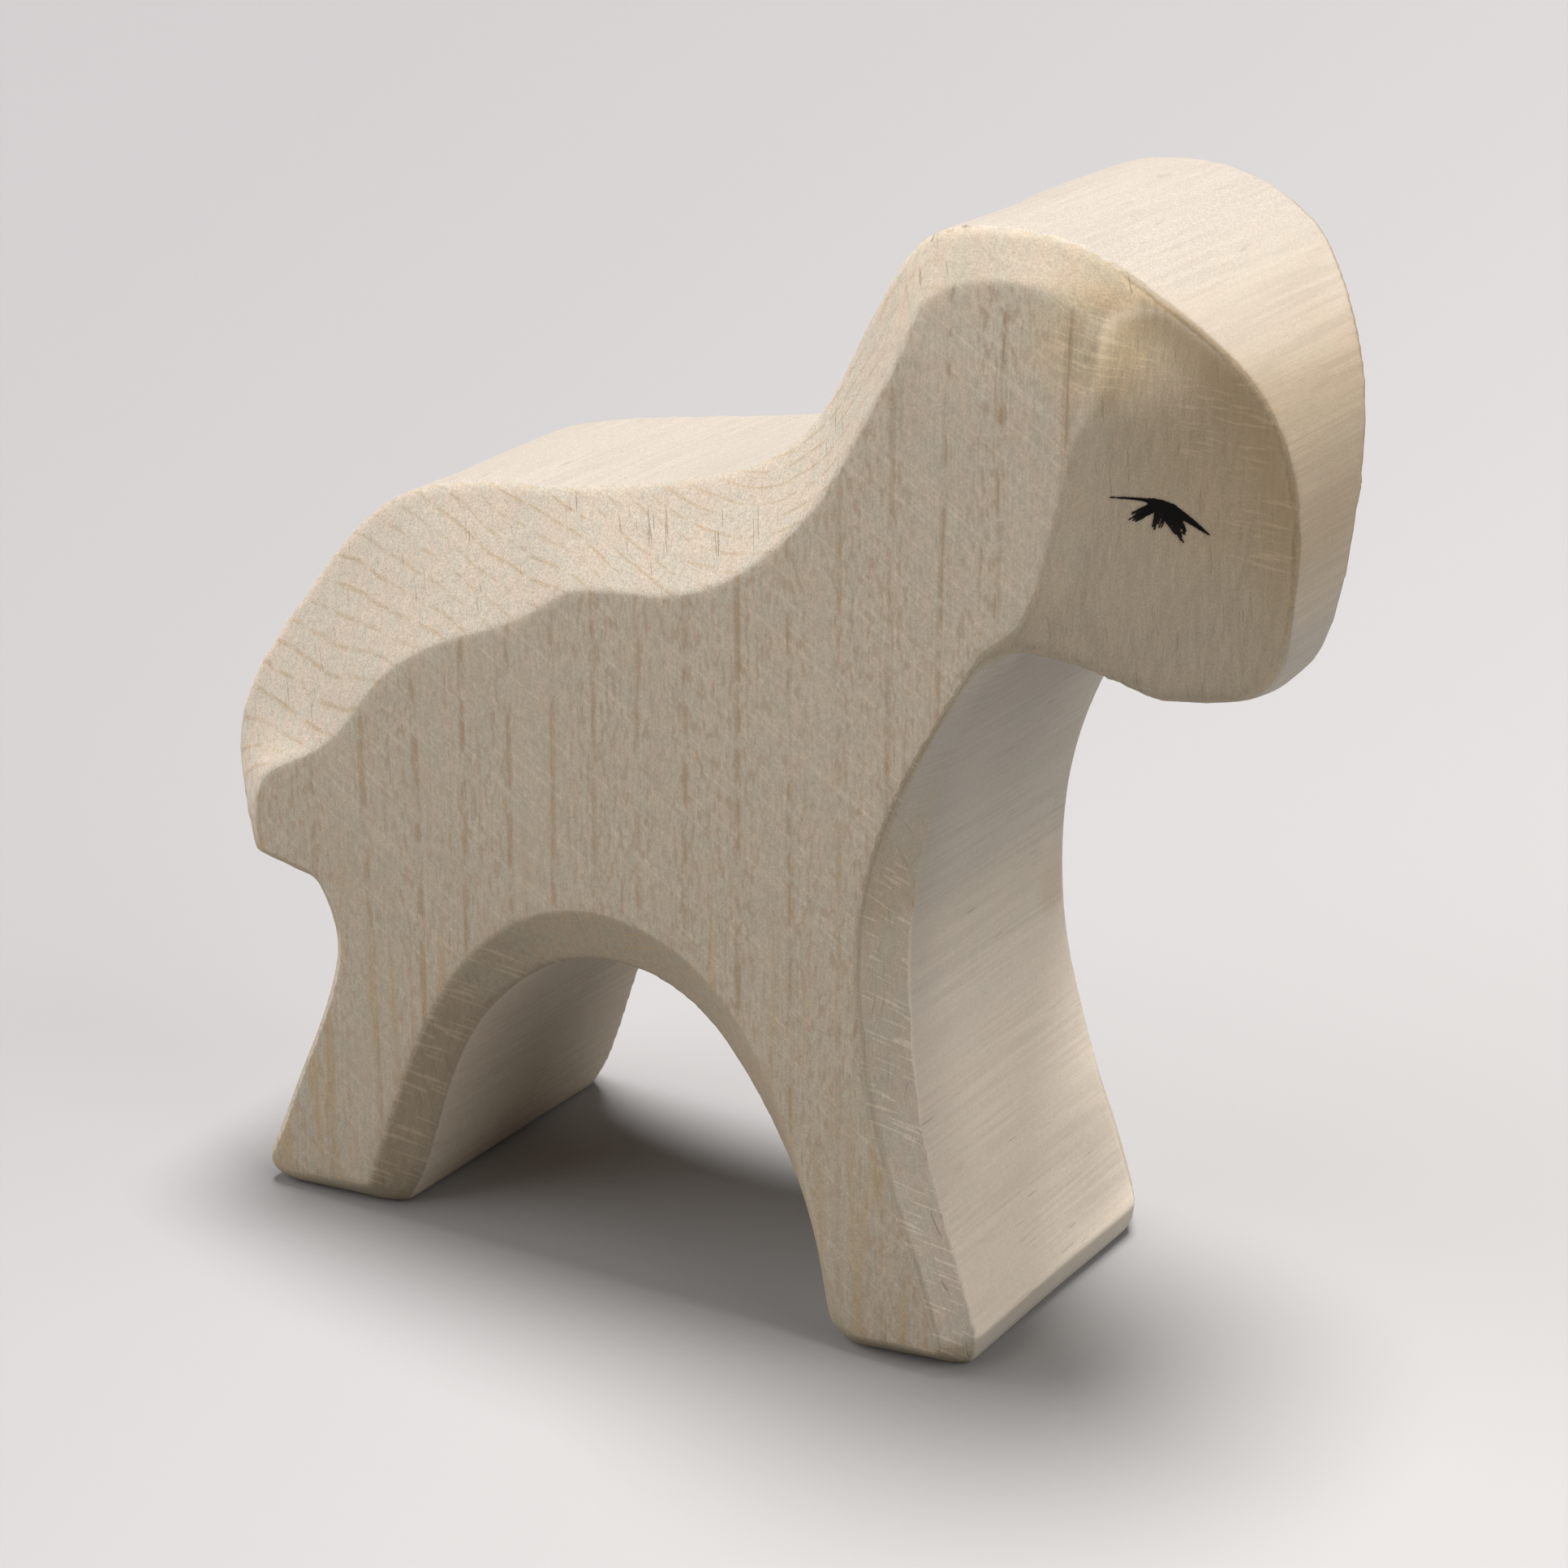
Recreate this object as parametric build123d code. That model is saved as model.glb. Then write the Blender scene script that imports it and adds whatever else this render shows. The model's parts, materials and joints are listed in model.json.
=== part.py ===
from build123d import *
import os

# Driving sizes in millimetres: X runs from tail to nose, Y across the plank, Z up from the feet
figure_length = 65.4
figure_height = 64.7
plank_thickness = 24.0
half_thickness = plank_thickness / 2

# How deep each sanded bevel cuts into the plank, measured from its flat side
tail_bevel = 0.4
rump_bevel = 3.7
back_bevel = 2.7
neck_bevel = 3.1
crown_bevel = 1.1
chest_bevel = 3.6
shin_bevel = 2.3
foot_bevel = 0.9
belly_bevel = 1.8
hock_bevel = 0.5

# The cheeks are flats that run from just below the ear's face to a narrow nose
nose_width = 8.0
chin_width = 6.4
ear_relief = 0.95
throat_relief = 0.37
ear_step_run = 0.8

# A bevel is sanded flat: half way down its slope it has lost half of its depth
crown_run_share = 0.5
crown_depth_share = 0.5

# The brush mark of a closed eye
eye_length = 5.6
paint_thickness = 0.15
eye_x_share = 0.414
eye_z_share = 0.792


def rim_point(x_share, z_share, depth):
    return Vector(x_share * figure_length, depth - half_thickness, z_share * figure_height)


def side_point(x_share, z_share):
    return rim_point(x_share, z_share, 0)


# The cheek's flat passes through the nose, the chin and the foot of the ear's front edge
nose_shares = (0.504, 0.772)
chin_shares = (0.481, 0.622)
ear_front_shares = (0.372, 0.831)
nose = rim_point(*nose_shares, half_thickness - nose_width / 2)
chin = rim_point(*chin_shares, half_thickness - chin_width / 2)
ear_foot = rim_point(*ear_front_shares, ear_relief)
cheek_normal = (ear_foot - nose).cross(chin - nose).normalized()


def on_cheek(point):
    drop = cheek_normal.dot(point - nose) / cheek_normal.Y
    return point - Vector(0, drop, 0)


# A station crosses the outline: side edge, crown of the bevel, rim edge
def station(rim_x_share, rim_z_share, side_x_share, side_z_share, depth):
    side = side_point(side_x_share, side_z_share)
    rim = rim_point(rim_x_share, rim_z_share, depth)
    run = (rim - side) * crown_run_share
    crown = Vector(side.X + run.X, side.Y + depth * crown_depth_share, side.Z + run.Z)
    return side, crown, rim


# On the face the rim and the foot of the ear's step both lie on the cheek's flat
def face_station(rim_x_share, rim_z_share, side_x_share, side_z_share):
    side = side_point(side_x_share, side_z_share)
    across = side_point(rim_x_share, rim_z_share) - side
    step_foot = on_cheek(side + across.normalized() * ear_step_run)
    rim = on_cheek(side_point(rim_x_share, rim_z_share))
    return side, step_foot, rim


tail_tip = station(-0.458, 0.336, -0.452, 0.341, tail_bevel)
brow = face_station(0.435, 0.943, 0.378, 0.933)
jaw_point = face_station(0.462, 0.610, 0.343, 0.713)
throat = station(0.314, 0.660, 0.298, 0.659, throat_relief)
toe = station(0.288, 0, 0.263, 0.022, shin_bevel)
front_heel = station(0.173, 0, 0.179, 0.016, foot_bevel)
hind_toe = station(-0.316, 0, -0.340, 0.022, belly_bevel)
hind_heel = station(-0.447, 0, -0.442, 0.012, foot_bevel * 0.6)
notch = station(-0.390, 0.322, -0.385, 0.329, tail_bevel)

topline = [
    tail_tip,
    station(-0.486, 0.400, -0.445, 0.406, rump_bevel * 0.4),
    station(-0.497, 0.425, -0.434, 0.422, rump_bevel * 0.6),
    station(-0.488, 0.479, -0.383, 0.448, rump_bevel * 0.75),
    station(-0.425, 0.580, -0.311, 0.522, rump_bevel * 0.95),
    station(-0.328, 0.681, -0.226, 0.580, rump_bevel),
    station(-0.189, 0.719, -0.135, 0.622, rump_bevel * 0.87),
    station(-0.123, 0.727, -0.095, 0.647, back_bevel),
    station(-0.015, 0.747, 0.006, 0.660, neck_bevel),
    station(0.092, 0.794, 0.111, 0.724, neck_bevel),
    station(0.126, 0.833, 0.151, 0.771, neck_bevel * 0.95),
    station(0.150, 0.876, 0.177, 0.817, neck_bevel * 0.9),
    station(0.197, 0.951, 0.222, 0.902, neck_bevel * 0.65),
    station(0.225, 0.981, 0.234, 0.930, crown_bevel * 1.3),
    station(0.311, 1.000, 0.305, 0.958, crown_bevel * 0.95),
    station(0.357, 0.992, 0.338, 0.957, crown_bevel * 1.3),
    brow,
]
face = [
    brow,
    face_station(0.486, 0.870, 0.385, 0.898),
    face_station(*nose_shares, *ear_front_shares),
    face_station(0.495, 0.667, 0.352, 0.749),
    face_station(*chin_shares, 0.347, 0.727),
    jaw_point,
]
jaw = [
    jaw_point,
    face_station(0.396, 0.623, 0.326, 0.684),
    face_station(0.355, 0.647, 0.312, 0.670),
    throat,
]
chest = [
    throat,
    station(0.278, 0.611, 0.272, 0.617, chest_bevel),
    station(0.256, 0.572, 0.248, 0.574, chest_bevel),
    station(0.220, 0.462, 0.199, 0.465, chest_bevel),
    station(0.211, 0.398, 0.186, 0.400, chest_bevel * 0.9),
    station(0.215, 0.287, 0.189, 0.293, chest_bevel * 0.8),
    station(0.232, 0.203, 0.205, 0.205, shin_bevel),
    station(0.255, 0.126, 0.231, 0.133, shin_bevel),
    toe,
]
front_sole = [toe, front_heel]
belly = [
    front_heel,
    station(0.152, 0.016, 0.168, 0.036, foot_bevel),
    station(0.140, 0.045, 0.157, 0.063, foot_bevel * 1.5),
    station(0.050, 0.234, 0.078, 0.269, belly_bevel),
    station(0.014, 0.271, 0.037, 0.318, belly_bevel),
    station(-0.086, 0.300, -0.083, 0.358, belly_bevel),
    station(-0.225, 0.209, -0.245, 0.248, belly_bevel),
    station(-0.274, 0.100, -0.308, 0.113, belly_bevel),
    station(-0.294, 0.043, -0.328, 0.062, belly_bevel),
    hind_toe,
]
hind_sole = [hind_toe, hind_heel]
hind_leg = [
    hind_heel,
    station(-0.463, 0.016, -0.454, 0.029, foot_bevel * 0.6),
    station(-0.455, 0.042, -0.445, 0.053, hock_bevel),
    station(-0.426, 0.107, -0.419, 0.112, hock_bevel),
    station(-0.378, 0.222, -0.371, 0.223, hock_bevel),
    station(-0.370, 0.270, -0.362, 0.270, hock_bevel),
    notch,
]
tail_underside = [notch, tail_tip]
stretches = [topline, face, jaw, chest, front_sole, belly, hind_sole, hind_leg, tail_underside]


def mirrored(point):
    return Vector(point.X, -point.Y, point.Z)


# Slope, per unit of knot, of the parabola through the first three points, taken at the first
def leaving_slope(points, knots):
    near = knots[1] - knots[0]
    far = knots[2] - knots[0]
    slope = (points[1] - points[0]) * (far / near) - (points[2] - points[0]) * (near / far)
    return slope / (far - near)


def arriving_slope(points, knots):
    backwards = [knots[-1] - knot for knot in reversed(knots)]
    return leaving_slope(points[::-1], backwards) * -1


# Knots follow the rim's chords, so that all three rings of a stretch keep step
def chord_lengths(stretch):
    return [(there[2] - here[2]).length for here, there in zip(stretch, stretch[1:])]


def knots_along(stretch):
    knots = [0]
    for chord in chord_lengths(stretch):
        knots.append(knots[-1] + chord)
    return knots


# Where two stretches join smoothly, both follow the chord across the joint, laid flat on the cheek
def joint_slope(before, after, ring):
    slope = (after[1][ring] - before[-2][ring]) / (chord_lengths(before)[-1] + chord_lengths(after)[0])
    if ring == 0:
        return slope
    return slope - cheek_normal * cheek_normal.dot(slope)


def ring_edge(stretch, ring, first_slope, last_slope, flip):
    points = [row[ring] for row in stretch]
    if len(points) == 2:
        start, end = points
        return Edge.make_line(flip(start), flip(end))
    knots = knots_along(stretch)
    leaving = first_slope or leaving_slope(points, knots)
    arriving = last_slope or arriving_slope(points, knots)
    return Edge.make_spline(
        [flip(point) for point in points],
        tangents=[flip(leaving), flip(arriving)],
        parameters=knots,
        scale=False,
    )


def as_is(point):
    return point


def ring_edges(ring, flip):
    edges = []
    for stretch in stretches:
        first = last = None
        if stretch is face:
            first = joint_slope(topline, face, ring)
            last = joint_slope(face, jaw, ring)
        if stretch is topline:
            last = joint_slope(topline, face, ring)
        if stretch is jaw:
            first = joint_slope(face, jaw, ring)
        edges.append(ring_edge(stretch, ring, first, last, flip))
    return edges


# Skin between two rings: a true plane where both edges are straight and face each other across the plank
def skin_between(edge, next_edge):
    facing = (next_edge @ 0 - edge @ 0).cross(Axis.Y.direction).length == 0
    if facing and edge.geom_type == GeomType.LINE:
        return Face(Wire.make_polygon([edge @ 0, edge @ 1, next_edge @ 1, next_edge @ 0]))
    return Face.make_surface_from_curves(edge, next_edge)


def make_body():
    right = [ring_edges(ring, as_is) for ring in range(3)]
    left = [ring_edges(ring, mirrored) for ring in range(3)]
    rings = right + left[::-1]
    faces = [Face(Wire(right[0])), Face(Wire(left[0]))]
    for ring, next_ring in zip(rings, rings[1:]):
        for edge, next_edge in zip(ring, next_ring):
            faces.append(skin_between(edge, next_edge))
    return Solid(Shell(faces))


# Outline points of the brush mark, as shares of its length on the cheek's flat
lid_top_shares = [(-0.400, 0.057), (-0.220, 0.060), (-0.020, 0.035), (0.250, -0.095), (0.525, -0.336)]
lid_low_shares = [(0.525, -0.336), (0.295, -0.235), (0.140, -0.150), (-0.100, -0.010), (-0.400, 0.057)]
lash_shares = [
    [(-0.110, -0.010), (-0.245, -0.150), (-0.195, -0.180), (0.010, -0.115)],
    [(-0.010, -0.080), (-0.020, -0.200), (0.040, -0.275), (0.120, -0.140)],
    [(0.070, -0.110), (0.170, -0.290), (0.350, -0.435), (0.180, -0.170)],
]


def scaled(shares):
    return [(x_share * eye_length, y_share * eye_length) for x_share, y_share in shares]


def make_right_eye():
    seat = on_cheek(side_point(eye_x_share, eye_z_share))
    towards_nose = Vector(-cheek_normal.Y, cheek_normal.X, 0)
    cheek = Plane(origin=seat, x_dir=towards_nose, z_dir=cheek_normal)
    mark = make_face([Spline(*scaled(lid_top_shares)), Spline(*scaled(lid_low_shares))])
    for lash in lash_shares:
        mark += make_face(Polyline(*scaled(lash), close=True))
    return extrude(cheek * mark, amount=paint_thickness)


# The finished figure stands on its feet, centred over the origin
body = make_body()
right_eye = make_right_eye()
left_eye = mirror(right_eye, about=Plane.XZ)
outer = body.bounding_box()
to_origin = Pos(-outer.center().X, 0, -outer.min.Z)

os.makedirs("parts", exist_ok=True)
export_step(to_origin * body, "parts/wooden_body.step")
export_step(to_origin * right_eye, "parts/right_eye.step")
export_step(to_origin * left_eye, "parts/left_eye.step")
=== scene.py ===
import json
import math
import random
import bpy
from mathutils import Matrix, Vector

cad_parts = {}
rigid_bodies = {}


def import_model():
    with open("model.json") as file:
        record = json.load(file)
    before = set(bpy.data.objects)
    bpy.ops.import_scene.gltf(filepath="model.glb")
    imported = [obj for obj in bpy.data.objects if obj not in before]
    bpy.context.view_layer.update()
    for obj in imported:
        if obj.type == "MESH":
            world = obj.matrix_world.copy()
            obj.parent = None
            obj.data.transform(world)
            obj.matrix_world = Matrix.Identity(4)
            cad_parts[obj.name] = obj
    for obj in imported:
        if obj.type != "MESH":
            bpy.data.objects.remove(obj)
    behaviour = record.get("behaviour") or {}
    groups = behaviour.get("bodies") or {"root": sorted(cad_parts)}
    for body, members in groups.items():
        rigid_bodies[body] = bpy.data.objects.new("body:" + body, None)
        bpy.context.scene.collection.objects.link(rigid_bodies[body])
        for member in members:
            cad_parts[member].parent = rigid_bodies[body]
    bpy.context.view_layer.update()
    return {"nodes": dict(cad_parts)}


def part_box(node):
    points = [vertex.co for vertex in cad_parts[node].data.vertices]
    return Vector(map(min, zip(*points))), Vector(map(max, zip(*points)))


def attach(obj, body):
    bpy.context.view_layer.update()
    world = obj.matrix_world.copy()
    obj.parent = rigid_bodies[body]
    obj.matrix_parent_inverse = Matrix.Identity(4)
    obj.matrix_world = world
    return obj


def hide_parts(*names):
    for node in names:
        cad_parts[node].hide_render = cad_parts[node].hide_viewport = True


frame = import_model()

from types import SimpleNamespace

import bpy
from mathutils import Matrix, Vector, noise

mm = 0.001


def makeActive(piece):
    bpy.ops.object.select_all(action="DESELECT")
    piece.select_set(True)
    bpy.context.view_layer.objects.active = piece


def applyModifier(piece, kind, settings):
    makeActive(piece)
    bpy.ops.object.modifier_add(type=kind)
    modifier = piece.modifiers[-1]
    for name, value in settings.items():
        setattr(modifier, name, value)
    bpy.ops.object.modifier_apply(modifier=modifier.name)


# Selects the faces that pass a test, and opens edit mode
def selectFaces(piece, test):
    makeActive(piece)
    bpy.ops.object.mode_set(mode="EDIT")
    bpy.ops.mesh.select_mode(type="FACE")
    bpy.ops.mesh.select_all(action="DESELECT")
    bpy.ops.object.mode_set(mode="OBJECT")
    for face in piece.data.polygons:
        face.select = test(face)
    bpy.ops.object.mode_set(mode="EDIT")


# 1 at the first end, 0 at the second, straight in between
def fade(value, full, none):
    share = (none - value) / (none - full)
    return min(1.0, max(0.0, share))


# How far along a line its point nearest to a spot lies, from 0 to 1, and the gap between them
def nearestOnLine(spot, start, end):
    along = end - start
    share = min(1.0, max(0.0, (spot - start).dot(along) / along.length_squared))
    return share, (spot - start - along * share).length


# The body: the sawn solid with its arrises rubbed soft
lambBody = {
    "node": "wooden_body",
    "weld": 0.001 * mm,
    "pitch": 0.36 * mm,         # fine enough for the step at the ear's front
    "softFactor": 0.5,
    "softPasses": 3,            # how far sanding has rubbed every arris
    # lines on the right side, in mm, that are rubbed softer on both sides
    "softLines": [
        {"name": "brow", "along": [(23.6, -12, 60.0), (24.8, -12, 58.5)],
         "reach": 3.6, "passes": 90},
        {"name": "earFront", "along": [(24.4, -12, 60), (24.0, -12, 54), (22.0, -12, 46)],
         "reach": 2.2, "passes": 10},
        {"name": "jaw", "along": [(20.3, -11.7, 42.7), (23.5, -10.5, 41.7), (26.8, -6.6, 40.4),
                                  (29.0, -4.6, 39.8)], "reach": 1.6, "passes": 20},
        {"name": "chin", "along": [(31.2, -4, 40.0), (31.2, 0, 40.0)], "reach": 3.0, "passes": 30},
        {"name": "frontSole", "along": [(10, -12, 0), (18, -12, 0), (18.6, -9, 0), (18.6, 0, 0)],
         "reach": 1.5, "passes": 16},
        {"name": "hindSole", "along": [(-29, 0, 0), (-29, -12, 0), (-20.7, -12, 0), (-20.7, 0, 0)],
         "reach": 2.4, "passes": 20},
    ],
    # where the sawn shape swells or sinks: line, how far round it, which way and how much, in mm
    "fuller": [
        {"name": "farRump", "along": [(-25, 2, 43), (-23.5, 8, 44)],
         "reach": 6.5, "way": "Z", "push": 0.42},
        {"name": "farCrown", "along": [(13.5, 2, 62.9), (13.8, 10, 63)],
         "reach": 4.8, "way": "Z", "push": 0.30},
        {"name": "farCheek", "along": [(28, 6, 59), (31.5, 4.5, 52), (31.8, 4, 45)],
         "reach": 5.0, "way": "Y", "push": 0.40},
        {"name": "farToe", "along": [(18.5, 9, 1)], "reach": 9.0, "way": "X", "push": 0.12},
        {"name": "chinLow", "along": [(25.5, -5, 40.6), (29, 0, 39.6), (25.5, 5, 40.6)],
         "reach": 3.5, "way": "Z", "push": -0.55},
    ],
    # the toe flares, and its lowest edge is sanded upright: where each is full and where it ends
    "toeFlare": 0.38 * mm,
    "toeHeight": 2.0 * mm,
    "toeTop": 9 * mm,
    "toeFront": (16 * mm, 13 * mm),
    "toeSole": (17.5 * mm, 14 * mm),
    "waveDepth": 0.10 * mm,     # hand sanding leaves the flats a little wavy
    "waveLength": 8 * mm,
    "arrisAngles": (110, 70),   # degrees that count as open and as folded
    "arrisBlur": 2,
}


def gapToLine(spot, points):
    if len(points) == 1:
        return (spot - points[0]).length
    return min(nearestOnLine(spot, start, end)[1] for start, end in zip(points, points[1:]))


def addGroup(piece, name, weigh):
    group = piece.vertex_groups.new(name=name)
    for vertex in piece.data.vertices:
        share = weigh(vertex.co)
        if share > 0:
            group.add([vertex.index], share, "REPLACE")
    return group.name


# A vertex group that fades softly from 1 on a row's line to 0 at its reach
def groupAtLine(piece, row, bothSides):
    points = [Vector(point) * mm for point in row["along"]]

    def weigh(spot):
        spot = spot.copy()
        if bothSides:
            spot.y = -abs(spot.y)
        share = fade(gapToLine(spot, points), 0, row["reach"] * mm)
        return share * share * (3 - 2 * share)

    return addGroup(piece, row["name"], weigh)


def toeWeight(spot):
    height = lambBody["toeHeight"]
    end = 0 if spot.z < height else lambBody["toeTop"]
    return fade(spot.z, height, end) * fade(spot.x, *lambBody["toeFront"])


def toeSoleWeight(spot):
    return fade(spot.z, 0, lambBody["toeHeight"]) * fade(spot.x, *lambBody["toeSole"])


def push(piece, way, strength, group):
    applyModifier(piece, "DISPLACE", {
        "direction": way, "strength": strength, "mid_level": 0.0, "vertex_group": group})


def soften(piece, passes, group=""):
    applyModifier(piece, "SMOOTH", {
        "factor": lambBody["softFactor"], "iterations": passes, "vertex_group": group})


# Leaves an attribute for the wood: about 0.06 on the flats, and 0.14 to 0.32 on proud edges
def markArrises(piece):
    openAngle, foldedAngle = lambBody["arrisAngles"]
    bpy.ops.geometry.color_attribute_add(
        name="arris", domain="POINT", data_type="FLOAT_COLOR", color=(1, 1, 1, 1))
    bpy.ops.paint.vertex_color_dirt(
        blur_strength=1.0, blur_iterations=lambBody["arrisBlur"], normalize=False,
        clean_angle=math.radians(openAngle), dirt_angle=math.radians(foldedAngle))
    makeActive(piece)


def makeLambBody():
    mesh = frame["nodes"][lambBody["node"]].data.copy()
    body = bpy.data.objects.new("lamb_body", mesh)
    bpy.context.collection.objects.link(body)
    makeActive(body)
    bpy.ops.object.mode_set(mode="EDIT")
    bpy.ops.mesh.select_all(action="SELECT")
    bpy.ops.mesh.remove_doubles(threshold=lambBody["weld"])
    bpy.ops.object.mode_set(mode="OBJECT")

    applyModifier(body, "REMESH", {"mode": "VOXEL", "voxel_size": lambBody["pitch"]})
    for row in lambBody["fuller"]:
        push(body, row["way"], row["push"] * mm, groupAtLine(body, row, False))
    push(body, "X", lambBody["toeFlare"], addGroup(body, "toe", toeWeight))
    push(body, "X", -lambBody["toeFlare"], addGroup(body, "toeSole", toeSoleWeight))
    soften(body, lambBody["softPasses"])
    for row in lambBody["softLines"]:
        soften(body, row["passes"], groupAtLine(body, row, True))

    waves = bpy.data.textures.new("sandedWaves", "CLOUDS")
    waves.noise_scale = lambBody["waveLength"]
    waves.noise_depth = 1
    applyModifier(body, "DISPLACE", {
        "texture": waves, "strength": lambBody["waveDepth"], "mid_level": 1.0})
    markArrises(body)
    bpy.ops.object.shade_smooth()
    print("lamb body:", len(body.data.polygons), "faces")
    return body


# The closed eyes: a lid and three lashes, each lash a fan of brush hairs
eyeMark = {
    "cell": 0.03 * mm,
    "film": 0.04 * mm,
    "lift": 0.01 * mm,          # above the wood
    "cornerPasses": 3,
    "borderPasses": 2,
    "borderFactor": 0.5,
    "sharpAngle": 40,           # degrees
    # all below in mm on the cheek: towards the nose, up
    "drop": 0.18,               # below the middle of the solid's mark
    "reach": (-2.4, 3.1, -2.7, 0.6),
    "heart": (0.85, -0.45),     # always covered
    "rag": 0.025,               # how far the border strays
    "ragCoarse": 7,             # strays in each mm
    "ragFine": 19,
    # the lid's points: place, and half its width there
    "lid": [(-2.24, 0.32, 0.03), (-1.60, 0.28, 0.06), (-0.90, 0.20, 0.07),
            (-0.40, 0.12, 0.11), (-0.10, 0.00, 0.22), (0.35, -0.22, 0.34),
            (0.85, -0.45, 0.36), (1.25, -0.66, 0.28), (1.70, -0.93, 0.19),
            (2.10, -1.22, 0.15), (2.50, -1.54, 0.10), (2.94, -1.88, 0.04)],
    "lashes": [
        {"root": (0.10, -0.22), "tip": (-1.22, -0.95), "rootSpread": 0.42,
         "tipSpread": 0.55, "hairs": 9, "seed": 3},
        {"root": (0.45, -0.45), "tip": (0.22, -1.50), "rootSpread": 0.60,
         "tipSpread": 0.42, "hairs": 5, "seed": 5},
        {"root": (0.85, -0.62), "tip": (1.72, -2.15), "rootSpread": 0.75,
         "tipSpread": 0.50, "hairs": 9, "seed": 8},
    ],
    "hairLength": (0.72, 1.05),     # share of the way to the lash's tip
    "hairRoot": (0.06, 0.10),       # half widths
    "hairTip": (0.015, 0.05),
}


# A stroke is its start, its end and half its width at each
def lidStrokes():
    points = eyeMark["lid"]
    return [(Vector(a[:2]), Vector(b[:2]), a[2], b[2]) for a, b in zip(points, points[1:])]


def lashStrokes(lash, seed):
    chance = random.Random(lash["seed"] + seed)
    root, tip = Vector(lash["root"]), Vector(lash["tip"])
    across = (tip - root).orthogonal().normalized()
    strokes = []
    for hair in range(lash["hairs"]):
        place = hair / (lash["hairs"] - 1) - 0.5
        start = root + across * place * lash["rootSpread"]
        full = tip + across * place * lash["tipSpread"]
        end = start.lerp(full, chance.uniform(*eyeMark["hairLength"]))
        rootHalf = chance.uniform(*eyeMark["hairRoot"])
        tipHalf = chance.uniform(*eyeMark["hairTip"])
        strokes.append((start, end, rootHalf, tipHalf))
    return strokes


def stray(spot, perMm, seed):
    return noise.noise((spot.x * perMm, spot.y * perMm, seed))


# How deep a spot lies inside the strokes, in mm: below 0 the wood is bare
def paintDepth(spot, strokes, seed):
    deepest = -1.0
    for start, end, startHalf, endHalf in strokes:
        share, gap = nearestOnLine(spot, start, end)
        half = startHalf + (endHalf - startHalf) * share
        deepest = max(deepest, half - gap)
    rag = stray(spot, eyeMark["ragCoarse"], seed) + stray(spot, eyeMark["ragFine"], seed) / 2
    return deepest + rag * eyeMark["rag"]


# Cuts a grid of small cells to the painted area, flat and in mm
def cutMark(eye, strokes, seed):
    cell = eyeMark["cell"] / mm
    heart = Vector(eyeMark["heart"])
    # bare cells go, and cells that meet only at a corner
    selectFaces(eye, lambda face: paintDepth(face.center.xy, strokes, seed) < 0)
    bpy.ops.mesh.delete(type="FACE")
    bpy.ops.mesh.select_mode(type="VERT")
    for turn in range(eyeMark["cornerPasses"]):
        bpy.ops.mesh.select_non_manifold(
            extend=False, use_wire=False, use_boundary=False, use_multi_face=False,
            use_non_contiguous=False)
        bpy.ops.mesh.delete(type="VERT")
    bpy.ops.object.mode_set(mode="OBJECT")
    # so do crumbs that hang on nothing, and the stepped border is smoothed
    selectFaces(eye, lambda face: (face.center.xy - heart).length < cell)
    bpy.ops.mesh.select_linked()
    bpy.ops.mesh.select_all(action="INVERT")
    bpy.ops.mesh.delete(type="FACE")
    bpy.ops.mesh.select_all(action="SELECT")
    bpy.ops.mesh.vertices_smooth(factor=eyeMark["borderFactor"], repeat=eyeMark["borderPasses"])
    bpy.ops.object.mode_set(mode="OBJECT")
    load = eye.data.attributes.new("paintLoad", "FLOAT", "POINT")
    for vertex in eye.data.vertices:
        load.data[vertex.index].value = paintDepth(vertex.co.xy, strokes, seed)


# The right cheek's own flat gives the mark its place and slope
def cheekPlace():
    left, right, low, high = eyeMark["reach"]
    eyeLow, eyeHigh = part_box("right_eye")
    centre = (eyeLow + eyeHigh) / 2
    seat, outward = frame["nodes"]["wooden_body"].closest_point_on_mesh(centre)[1:3]
    toNose = Vector((0, 0, 1)).cross(outward).normalized()
    rise = outward.cross(toNose)
    middle = Vector(((left + right) / 2, (low + high) / 2))
    origin = seat - (toNose * middle.x + rise * (middle.y + eyeMark["drop"])) * mm
    slope = Matrix((toNose, rise, outward)).transposed().to_4x4()
    return Matrix.Translation(origin) @ slope @ Matrix.Scale(mm, 4)


def makeEye(name, node, body, seed, mirrored):
    strokes = lidStrokes()
    for lash in eyeMark["lashes"]:
        strokes += lashStrokes(lash, seed)
    left, right, low, high = eyeMark["reach"]
    cell = eyeMark["cell"] / mm
    bpy.ops.object.select_all(action="DESELECT")
    bpy.ops.mesh.primitive_grid_add(
        x_subdivisions=round((right - left) / cell),
        y_subdivisions=round((high - low) / cell), size=1)
    eye = bpy.context.active_object
    eye.name = eye.data.name = name
    eye.data.transform(
        Matrix.Translation(((left + right) / 2, (low + high) / 2, 0))
        @ Matrix.Diagonal((right - left, high - low, 1, 1)))

    cutMark(eye, strokes, seed)
    eye.data.transform(cheekPlace())
    if mirrored:
        eye.data.transform(Matrix.Scale(-1, 4, (0, 1, 0)))
        eye.data.flip_normals()
    applyModifier(eye, "SHRINKWRAP", {
        "target": body, "wrap_method": "NEAREST_SURFACEPOINT",
        "wrap_mode": "ABOVE_SURFACE", "offset": eyeMark["lift"]})
    applyModifier(eye, "SOLIDIFY", {"thickness": eyeMark["film"], "offset": 1.0})
    makeActive(eye)
    bpy.ops.object.shade_smooth_by_angle(angle=math.radians(eyeMark["sharpAngle"]))
    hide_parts(node)
    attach(eye, "root")
    print(name + ":", len(eye.data.polygons), "faces")
    return eye


nodeLayout = {"perRow": 12, "stepX": 200, "stepY": 220}


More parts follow.
